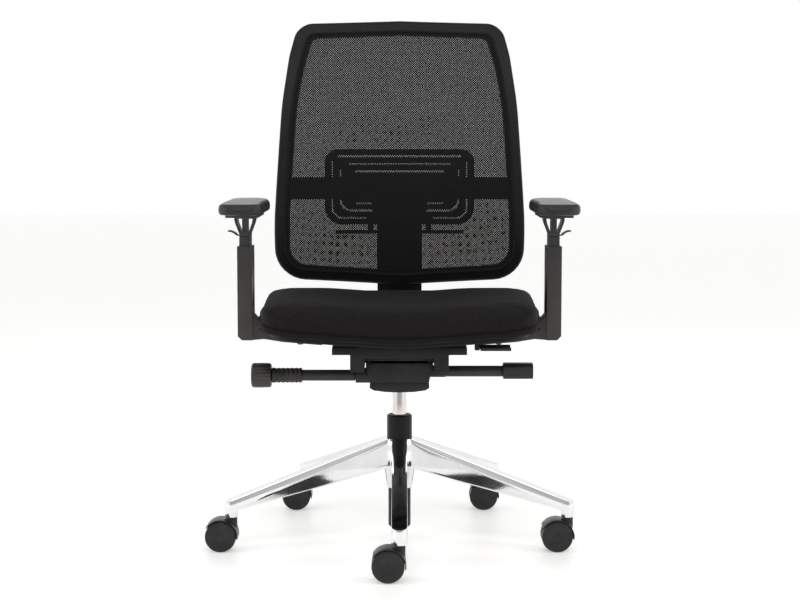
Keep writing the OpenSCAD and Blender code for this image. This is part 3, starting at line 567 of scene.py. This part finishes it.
def relaxed(mesh, rounds):
    """The mesh with its faces' steps evened out"""
    bm = bmesh.new()
    bm.from_mesh(mesh)
    for _ in range(rounds):
        bmesh.ops.smooth_vert(bm, verts=bm.verts, factor=0.5, use_axis_x=True, use_axis_y=True,
                              use_axis_z=True)
    return bm


def rounded_over(piece, name):
    """Divides a soft piece once more, so that its outline is smooth"""
    smoothed = piece.modifiers.new(name, "SUBSURF")
    smoothed.levels = smoothed.render_levels = 1


CLOTH_FRAMES = 20


def puffed(mesh, pressure, cap, held):
    """The cover after the foam presses it out: a cloth simulation whose movement is capped"""
    start = [vert.co.copy() for vert in mesh.vertices]

    def set_up(passing):
        pins = passing.vertex_groups.new(name="pins")
        pins.add([i for i, place in enumerate(start) if held(place)], 1.0, "REPLACE")
        cloth = passing.modifiers.new("cover", "CLOTH")
        cloth.settings.use_pressure = True
        cloth.settings.uniform_pressure_force = pressure
        cloth.settings.effector_weights.gravity = 0
        cloth.settings.vertex_group_mass = "pins"
        cloth.settings.quality = 4
        cloth.point_cache.frame_end = CLOTH_FRAMES
        for tick in range(1, CLOTH_FRAMES + 1):
            scene.frame_set(tick)

    moved = evaluated(mesh, set_up)
    scene.frame_set(1)
    for vert, was in zip(moved.vertices, start):
        move = vert.co - was
        if move.length > cap:
            vert.co = was + move * (cap / move.length)
    return moved


seat_low, seat_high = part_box("seat_cushion")
seat_middle = (Vector(seat_low) + Vector(seat_high)) / 2
half_w, HALF_D = (seat_high[0] - seat_low[0]) / 2, 0.235
shell_line = [(0, 0.419), (0.064, 0.4205), (0.128, 0.425), (half_w - 0.089, 0.429),
              (half_w - 0.044, 0.433), (half_w - 0.012, 0.438), (half_w + 0.001, 0.443)]


def shell_top(x):
    """Height of the shell's upper surface, where the foam rests, at a distance x from the middle"""
    for (x0, z0), (x1, z1) in zip(shell_line, shell_line[1:]):
        if abs(x) <= x1:
            return z0 + (z1 - z0) * (abs(x) - x0) / (x1 - x0)
    return shell_line[-1][1]


def clamped(value, low=0, high=1):
    return max(low, min(high, value))


# The foam is cut a little small and the cover's pressure fills it out, held along the shell
DRAWN_IN, PRESSURE, SEAT_CAP, SEAT_VOXEL = 0.0015, 4.0, 0.004, 0.006
TOP_FROM, TOP_SUNK, HELD_UP = 0.47, 0.002, 0.004
foam = remeshed("seat_cushion", SEAT_VOXEL)
for vert in foam.vertices:
    out = vert.co - seat_middle
    vert.co.x -= DRAWN_IN * clamped(out.x / half_w, -1)
    vert.co.y -= DRAWN_IN * clamped(out.y / HALF_D, -1)
    if vert.co.z > TOP_FROM:
        vert.co.z -= TOP_SUNK
foam = puffed(foam, PRESSURE, SEAT_CAP, lambda place: place.z < shell_top(place.x) + HELD_UP)

# Fuller rear corners, then the cover is fitted to the cushion's box, just proud of its sides
bm = relaxed(foam, 2)
made_low = [min(v.co[i] for v in bm.verts) for i in range(3)]
made_high = [max(v.co[i] for v in bm.verts) for i in range(3)]
CORNER_OUT_X, CORNER_OUT_Y, CORNER_UP, LOWER_SHARE = 0.009, 0.001, 0.03, 0.4
for vert in bm.verts:
    wide = clamped((abs(vert.co.x) / half_w - 0.50) / 0.40)
    rear = clamped(((vert.co.y - seat_middle.y) / HALF_D - 0.05) / 0.75)
    above = clamped((vert.co.z - shell_top(vert.co.x)) / CORNER_UP)
    fuller = wide * wide * (3 - 2 * wide) * sin(pi / 2 * rear)
    fuller *= LOWER_SHARE + (1 - LOWER_SHARE) * above
    vert.co.x += CORNER_OUT_X * fuller * (1 if vert.co.x > 0 else -1)
    vert.co.y += CORNER_OUT_Y * fuller
PROUD = 0.0015, 0.0015, 0
for vert in bm.verts:
    for i, proud in enumerate(PROUD):
        share = (vert.co[i] - made_low[i]) / (made_high[i] - made_low[i])
        vert.co[i] = (seat_low[i] - proud) * (1 - share) + (seat_high[i] + proud) * share
bm.normal_update()

# The seam draws the cover in all round, in a groove just above the shell
SEAM_UP, SEAM_SINK, SEAM_HALF, SIDE_FROM, UPRIGHT = 0.0125, 0.0024, 0.0040, 0.8, 0.35
for vert in bm.verts:
    near = (vert.co.z - shell_top(vert.co.x) - SEAM_UP) / SEAM_HALF
    flat = Vector((vert.normal.x, vert.normal.y, 0))
    outward = max(abs(vert.co.x) / half_w, abs(vert.co.y - seat_middle.y) / HALF_D)
    if abs(near) < 3 and flat.length > UPRIGHT and outward > SIDE_FROM:
        vert.co -= flat.normalized() * SEAM_SINK * exp(-near * near)
cushion = show(bm, "seat_cushion_cover", seat_cloth, "seat", "seat_fabric", "seat_cushion",
               sharp=80)
rounded_over(cushion, "smooth_cover")


# The seam's cord lies in the groove, so its line is found on the cover itself
cover_tree = BVHTree.FromPolygons([v.co for v in cushion.data.vertices],
                                  [p.vertices for p in cushion.data.polygons])
CORD_R, CORD_POINTS, CORD_PROUD, WELL_OUTSIDE = 0.0017, 160, 0.0004, 0.45
bm = bmesh.new()
ring = []
for point in range(CORD_POINTS):
    angle = 2 * pi * point / CORD_POINTS
    ray = Vector((cos(angle), sin(angle), 0))
    x = half_w * cos(angle)
    for _ in range(3):
        outside = Vector((0, seat_middle.y, shell_top(x) + SEAM_UP)) + ray * WELL_OUTSIDE
        hit = cover_tree.ray_cast(outside, -ray)[0]
        x = hit.x
    ring.append(bm.verts.new(hit + ray * CORD_PROUD))
chained(bm, ring, closed=True)


def cord_along(line, radius, closed=True):
    """A round cord along one line of connected edges"""
    line.verts.ensure_lookup_table()
    ends = [v for v in line.verts if len(v.link_edges) == 1]
    start = ends[0] if ends else line.verts[0]
    order, edge = [start], start.link_edges[0]
    while True:
        following = edge.other_vert(order[-1])
        if following is start:
            break
        order.append(following)
        onward = [e for e in following.link_edges if e is not edge]
        if not onward:
            break
        edge = onward[0]
    curve = bpy.data.curves.new("cord_line", "CURVE")
    curve.dimensions = "3D"
    curve.bevel_depth, curve.bevel_resolution = radius, 2
    curve.use_fill_caps = not closed
    spline = curve.splines.new("POLY")
    spline.points.add(len(order) - 1)
    for point, vert in zip(spline.points, order):
        point.co = (*vert.co, 1)
    spline.use_cyclic_u = closed
    line.free()
    passing = bpy.data.objects.new("cord_passing", curve)
    scene.collection.objects.link(passing)
    tube = bpy.data.meshes.new_from_object(
        passing.evaluated_get(bpy.context.evaluated_depsgraph_get()))
    bpy.data.objects.remove(passing)
    made = bmesh.new()
    made.from_mesh(tube)
    bmesh.ops.remove_doubles(made, verts=made.verts, dist=1e-6)
    bmesh.ops.recalc_face_normals(made, faces=made.faces)
    return made


# Its second colour is painted shade in the hollows of the weave
seam_cloth = woven("seam_cord_cloth", (0.012, 0.011, 0.011), (0.004, 0.0035, 0.0035), 5200,
                   0.0001, 0.01)
show(cord_along(bm, CORD_R), "seat_seam_cord", seam_cloth, "seat", "seat_fabric", sharp=80)


# ---- Armrests --------------------------------------------------------------------------------
# An L-shaped cast bracket is screwed under the seat and its sleeve guides a square post. A
# forked head on the post carries the pad's plate, and a squeeze trigger below it frees the height.

arm_coat = finish("arm_powder_coat", (0.040, 0.0365, 0.0355), (0.050, 0.046, 0.0445), 0.42,
                  grain=1500, depth=0.00006, patch=16, Specular_IOR_Level=0.3)
post_coat = finish("post_coat", (0.030, 0.029, 0.029), (0.042, 0.040, 0.040), 0.30, grain=2000,
                   depth=0.00003, patch=30, uneven=0.14, Specular_IOR_Level=0.5)
arm_nylon = finish("arm_nylon", (0.030, 0.029, 0.029), (0.042, 0.041, 0.041), 0.40, grain=1000,
                   Specular_IOR_Level=0.4)
pad_skin = finish("arm_pad_skin", (0.020, 0.0185, 0.018), (0.027, 0.025, 0.0245), 0.33, grain=1300,
                  depth=0.00012, patch=26, uneven=0.08, Specular_IOR_Level=0.28,
                  Coat_Weight=0.04, Coat_Roughness=0.25)
screw_steel = finish("blacked_screw_steel", (0.06, 0.06, 0.062), (0.10, 0.10, 0.10), 0.36,
                     grain=2400, patch=90, uneven=0.2, Metallic=0.9)
PAD_VOXEL, PAD_ROUNDS = 0.0028, 6
for side in ("left", "right"):
    eased(f"{side}_arm_bracket", 0.0016, arm_coat, "black_alloy", segments=3)
    eased(f"{side}_arm_post", 0.0020, post_coat, "black_alloy", segments=3)
    eased(f"{side}_arm_trigger", 0.0008, arm_nylon, "arm_nylon")
    eased(f"{side}_arm_head", 0.0010, arm_nylon, "arm_nylon")
    eased(f"{side}_pad_plate", 0.0012, arm_nylon, "arm_nylon")
    # The pad is moulded in one piece: a soft foam core under its own grained skin
    bm = relaxed(remeshed(f"{side}_arm_pad", PAD_VOXEL), PAD_ROUNDS)
    pad = show(bm, f"{side}_arm_pad_moulded", pad_skin, f"{side}_pad", "pad_foam",
               f"{side}_arm_pad", sharp=80)
    rounded_over(pad, "smooth_skin")
dress(screw_steel, "arm_screws")


# ---- Back frame, spine and link --------------------------------------------------------------
# The frame is one glass-filled nylon moulding: a rounded band with a crossbar behind it. The
# spine is screwed to both, and the link under it turns on the mechanism's rear shaft.

back_nylon = finish("back_frame_nylon", (0.0048, 0.0046, 0.0046), (0.0080, 0.0077, 0.0077), 0.42,
                    grain=900, depth=0.00007, patch=12, uneven=0.08, Specular_IOR_Level=0.22)
(frame_x0, _, frame_z0), (frame_x1, _, frame_z1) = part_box("back_frame")
HALF_BACK, BAND, FRAME_D = (frame_x1 - frame_x0) / 2, 0.031, 0.026
BOW_R, BOW_Y, BOW_Z, BOW_RISE = 1.124, 0.220, 0.675, 1.65


def bowed(bm):
    """Bends a flat drawing to the back's double curve. Its Y is the distance behind the mesh"""
    for vert in bm.verts:
        out = BOW_R + (vert.co.z - BOW_Z) ** 2 / BOW_RISE + vert.co.y
        vert.co.y = BOW_Y - BOW_R + sqrt(out * out - vert.co.x * vert.co.x)


def cut_across(bm, axis, pitch, low, high):
    """Adds edges across a flat mesh so that it can bend"""
    normal = Vector([axis == place for place in "xyz"])
    for cut in range(1, int((high - low) / pitch) + 1):
        bmesh.ops.bisect_plane(bm, geom=bm.verts[:] + bm.edges[:] + bm.faces[:], dist=1e-6,
                               plane_co=normal * (low + cut * pitch), plane_no=normal)


def back_corners(inset):
    """The right half of the back's outline, bottom to top: X, Z and the radius of each corner"""
    half, low, high = HALF_BACK - inset, frame_z0 + inset, frame_z1
    return [(0, low, 0), (HALF_BACK * 0.62, low + 0.010, 0.200),
            (half - 0.001, low + 0.016, max(0.020, 0.066 - inset)), (half + 0.001, 0.615, 0.700),
            (half - 0.015, 0.865, 0.700), (half - 0.029, high - 0.074 - inset * 0.8, 0.150),
            (half - 0.046, high - 0.006 - inset, max(0.017, 0.040 - inset)),
            (0, high + 0.001 - inset, 0)]


def drawn(corners, y, steps=None):
    """A flat face in X and Z from mirrored corners, each rounded to its radius"""
    whole = corners + [(-x, z, r) for x, z, r in reversed(corners) if x > 0]
    bm = bmesh.new()
    verts = [bm.verts.new((x, y, z)) for x, z, _ in whole]
    bm.faces.new(verts)
    spots = [Vector((x, z)) for x, z, _ in whole]
    for at, vert in enumerate(verts):
        radius = whole[at][2]
        if radius:
            before = spots[at] - spots[at - 1]
            after = spots[(at + 1) % len(spots)] - spots[at]
            turn = abs(before.angle_signed(after))
            bmesh.ops.bevel(bm, geom=[vert], offset=radius * tan(turn / 2), affect="VERTICES",
                            offset_type="OFFSET", segments=steps or max(2, int(turn / 0.1)),
                            profile=0.5, material=-1)
    return bm


def thickened(bm, depth):
    """Gives a flat drawing its thickness, to the rear"""
    thick = bmesh.ops.extrude_face_region(bm, geom=bm.faces[:])
    bmesh.ops.translate(bm, vec=(0, depth, 0),
                        verts=[g for g in thick["geom"] if isinstance(g, bmesh.types.BMVert)])
    bmesh.ops.recalc_face_normals(bm, faces=bm.faces)


def rounded_edges(bm, edges, radius, segments):
    bmesh.ops.bevel(bm, geom=edges, offset=radius, offset_type="OFFSET", affect="EDGES",
                    segments=segments, profile=0.5, material=-1)


CORNER_STEPS, BAND_ROUND, RIDGE, BEND_Z, BEND_X = 8, 0.0062, 1.2, 0.014, 0.020
outer, inner = drawn(back_corners(0), 0, CORNER_STEPS), drawn(back_corners(BAND), 0, CORNER_STEPS)
outer.from_mesh(as_mesh(inner))
bmesh.ops.delete(outer, geom=outer.faces[:], context="FACES_ONLY")
bmesh.ops.bridge_loops(outer, edges=outer.edges[:])
thickened(outer, FRAME_D)
ridge = [e for e in outer.edges if e.is_manifold and e.calc_face_angle(0) > RIDGE]
rounded_edges(outer, ridge, BAND_ROUND, 4)
cut_across(outer, "z", BEND_Z, frame_z0, frame_z1)
cut_across(outer, "x", BEND_X, frame_x0, frame_x1)
bowed(outer)
show(outer, "back_frame_band", back_nylon, "back", "back_nylon", "back_frame", sharp=50)

CROSSBAR_LOW, CROSSBAR_HIGH, CROSSBAR_BEHIND, CROSSBAR_T, CROSSBAR_ROUND = (
    0.667, 0.713, 0.014, 0.0115, 0.003)
BAND_MIDDLE = HALF_BACK - BAND / 2
bm = drawn([(BAND_MIDDLE, CROSSBAR_LOW, 0), (BAND_MIDDLE, CROSSBAR_HIGH, 0)], CROSSBAR_BEHIND)
thickened(bm, CROSSBAR_T)
rounded_edges(bm, bm.edges[:], CROSSBAR_ROUND, 3)
cut_across(bm, "x", BEND_X, frame_x0, frame_x1)
bowed(bm)
show(bm, "back_crossbar", back_nylon, "back", "back_nylon", sharp=50)
eased("back_spine", 0.0030, back_nylon, "back_nylon", segments=3, corner=40)
eased("back_link", 0.0035, back_nylon, "back_nylon", segments=3, corner=40)
dress(screw_steel, "spine_screws")


# ---- Back mesh -------------------------------------------------------------------------------
# A black elastic knit with small square openings set on the diagonal, stretched over the frame's
# front. Its edge is welded into a rounded cord that sits in the frame's groove.

def knit_group():
    """Fine ribs of yarn across each strand, with painted shade between the ribs, and a slow random
    change of tone over the cloth
    """
    group, nodes, links, given, out = node_group("knitted_yarn", (
        ("Vector", "Place", (0, 0, 0)), ("Color", "Yarn", (0.03, 0.03, 0.03, 1)),
        ("Color", "Hollow shade", (0.01, 0.01, 0.01, 1))), (("Color", "Colour"), ("Float", "Height")))
    ribs, slub = nodes.new("ShaderNodeTexWave"), nodes.new("ShaderNodeTexNoise")
    ribs.bands_direction = "Z"
    ribs.inputs["Scale"].default_value = 420.0
    ribs.inputs["Distortion"].default_value = 1.5
    slub.inputs["Scale"].default_value = 30.0
    # Painted shade: the colour falls to the darker hollow colour between the ribs, where the bump is
    # low, and also in the slub noise's low patches, a random tone
    blend, shade = nodes.new("ShaderNodeMath"), nodes.new("ShaderNodeMix")
    blend.operation = "MULTIPLY"
    shade.data_type = "RGBA"
    links.new(given.outputs["Place"], ribs.inputs["Vector"])
    links.new(given.outputs["Place"], slub.inputs["Vector"])
    links.new(ribs.outputs["Fac"], blend.inputs[0])
    links.new(slub.outputs["Fac"], blend.inputs[1])
    links.new(blend.outputs["Value"], shade.inputs["Factor"])
    links.new(given.outputs["Hollow shade"], shade.inputs["A"])
    links.new(given.outputs["Yarn"], shade.inputs["B"])
    links.new(shade.outputs["Result"], out.inputs["Colour"])
    links.new(ribs.outputs["Fac"], out.inputs["Height"])
    return group


# The second colour is painted shade between the knit's ribs
mesh_knit = coated("black_mesh_knit", knit_group(), 0.0002, {
    "Yarn": (0.016, 0.0145, 0.014, 1), "Hollow shade": (0.007, 0.006, 0.006, 1)}, {
    "Roughness": 0.62, "Specular_IOR_Level": 0.12})

MESH_LAP = 0.009
CELL, HOLE, MESH_INSET, MESH_BACK = 0.0034, 0.0009, BAND - MESH_LAP, -0.0008
edge_face = drawn(back_corners(MESH_INSET), 0)
edge_line = [(v.co.x, v.co.z) for v in edge_face.faces[:][0].verts]
cut_area = edge_face.faces[:][0].calc_area()
edge_face.free()


def inside(x, z):
    """Whether a point of the drawing lies within the mesh's cut edge"""
    crossings = 0
    for (x0, z0), (x1, z1) in zip(edge_line, edge_line[1:] + edge_line[:1]):
        if (z0 > z) != (z1 > z) and x < x0 + (x1 - x0) * (z - z0) / (z1 - z0):
            crossings += 1
    return crossings % 2 == 1


SPAN = 0.40
cells = int(2 * SPAN / CELL)
QUARTER, EIGHTH = Matrix.Rotation(pi / 2, 3, "X"), Matrix.Rotation(pi / 4, 3, "Z")
bm = bmesh.new()
bmesh.ops.create_grid(bm, x_segments=cells, y_segments=cells, size=SPAN)
for turn in (EIGHTH, QUARTER):
    bmesh.ops.rotate(bm, verts=bm.verts, cent=(0, 0, 0), matrix=turn)
bmesh.ops.translate(bm, verts=bm.verts, vec=(0, MESH_BACK, (frame_z0 + frame_z1) / 2))
middles = [(cell, cell.calc_center_median()) for cell in bm.faces]
outside = [cell for cell, middle in middles if not inside(middle.x, middle.z)]
bmesh.ops.delete(bm, geom=outside, context="FACES")
cell_faces = bm.faces[:]
bmesh.ops.inset_individual(bm, faces=cell_faces, thickness=(CELL - HOLE) / 2,
                           use_even_offset=True)
bmesh.ops.delete(bm, geom=cell_faces, context="FACES_ONLY")
bowed(bm)
bmesh.ops.recalc_face_normals(bm, faces=bm.faces)
back_mesh = show(bm, "back_mesh_knit", mesh_knit, "back", "mesh_knit", "back_mesh")

# Its second colour is painted shade in the hollows of the weave
edge_cloth = woven("mesh_edge_cord_cloth", (0.020, 0.019, 0.019), (0.008, 0.008, 0.008), 5200,
                   0.0001, 0.03)
bm = bmesh.new()
RIM_R, RIM_BEND_Z = 0.0026, 0.012
chained(bm, [bm.verts.new((x, MESH_BACK, z)) for x, z in edge_line], closed=True)
cut_across(bm, "z", RIM_BEND_Z, frame_z0, frame_z1)
cut_across(bm, "x", BEND_X, frame_x0, frame_x1)
bowed(bm)
rim_cord = show(cord_along(bm, RIM_R), "back_mesh_edge_cord", edge_cloth, "back", "mesh_knit",
                sharp=80)


# ---- Lumbar pad and handle -------------------------------------------------------------------
# A thin nylon plate behind the mesh, slotted so that it flexes, with a handle bar below it. Both
# slide up and down together on the spine.

pad_nylon = finish("lumbar_nylon", (0.0060, 0.0058, 0.0058), (0.010, 0.0096, 0.0096), 0.44,
                   grain=900, depth=0.00007, patch=20, Specular_IOR_Level=0.2)
(pad_x0, _, pad_z0), (pad_x1, _, pad_z1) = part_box("lumbar_pad")
PAD_FRONT, PAD_T, PAD_ROUND, PAD_LOW_R, PAD_TOP_R = 0.005, 0.005, 0.0012, 0.038, 0.026
bm = drawn([(pad_x1, pad_z0, PAD_LOW_R), (pad_x1, pad_z1, PAD_TOP_R)], PAD_FRONT, CORNER_STEPS)
thickened(bm, PAD_T)
rounded_edges(bm, [e for e in bm.edges if e.calc_face_angle(0) > RIDGE], PAD_ROUND, 2)

# Slots as X, Z and corner radius: three across the top, two bent ones and a short one each side
SLOT_R, PAD_MIDDLE, THROUGH = 0.0024, PAD_FRONT + PAD_T / 2, 3.2
slots = bmesh.new()
slot_paths = [[(-reach, pad_z1 - down, 0), (reach, pad_z1 - down, 0)]
              for down, reach in ((0.014, 0.128), (0.030, 0.108), (0.046, 0.092))]
for way in (-1, 1):
    for side_in, down, up, end in ((0.016, 0.024, 0.014, 0.068), (0.033, 0.040, 0.030, 0.056)):
        slot_paths.append([(way * (pad_x1 - side_in), pad_z1 - down, 0),
                           (way * (pad_x1 - side_in), pad_z0 + up, 0.022),
                           (way * end, pad_z0 + up, 0)])
    slot_paths.append([(way * 0.091, pad_z0 + 0.045, 0), (way * 0.057, pad_z0 + 0.045, 0)])
for path in slot_paths:
    bm_slot = bmesh.new()
    verts = [bm_slot.verts.new((x, PAD_MIDDLE, z)) for x, z, _ in path]
    chained(bm_slot, verts)
    for vert, (_, _, radius) in zip(verts, path):
        if radius:
            bmesh.ops.bevel(bm_slot, geom=[vert], offset=radius, offset_type="OFFSET",
                            affect="VERTICES", segments=8, profile=0.5, material=-1)
    cutter = cord_along(bm_slot, SLOT_R, closed=False)
    for vert in cutter.verts:
        vert.co.y = PAD_MIDDLE + (vert.co.y - PAD_MIDDLE) * THROUGH
    slots.from_mesh(as_mesh(cutter))
slot_object = bpy.data.objects.new("slots", as_mesh(slots))
scene.collection.objects.link(slot_object)


def slotted(passing):
    cut = passing.modifiers.new("slots", "BOOLEAN")
    cut.operation, cut.solver, cut.object = "DIFFERENCE", "EXACT", slot_object


cut_pad = evaluated(as_mesh(bm), slotted)
bpy.data.objects.remove(slot_object)
bm = bmesh.new()
bm.from_mesh(cut_pad)
PAD_BEND_X = 0.016
cut_across(bm, "x", PAD_BEND_X, pad_x0, pad_x1)
bowed(bm)
show(bm, "lumbar_pad_slotted", pad_nylon, "lumbar", "back_nylon", "lumbar_pad", sharp=40)
eased("lumbar_handle", 0.0010, pad_nylon, "back_nylon")
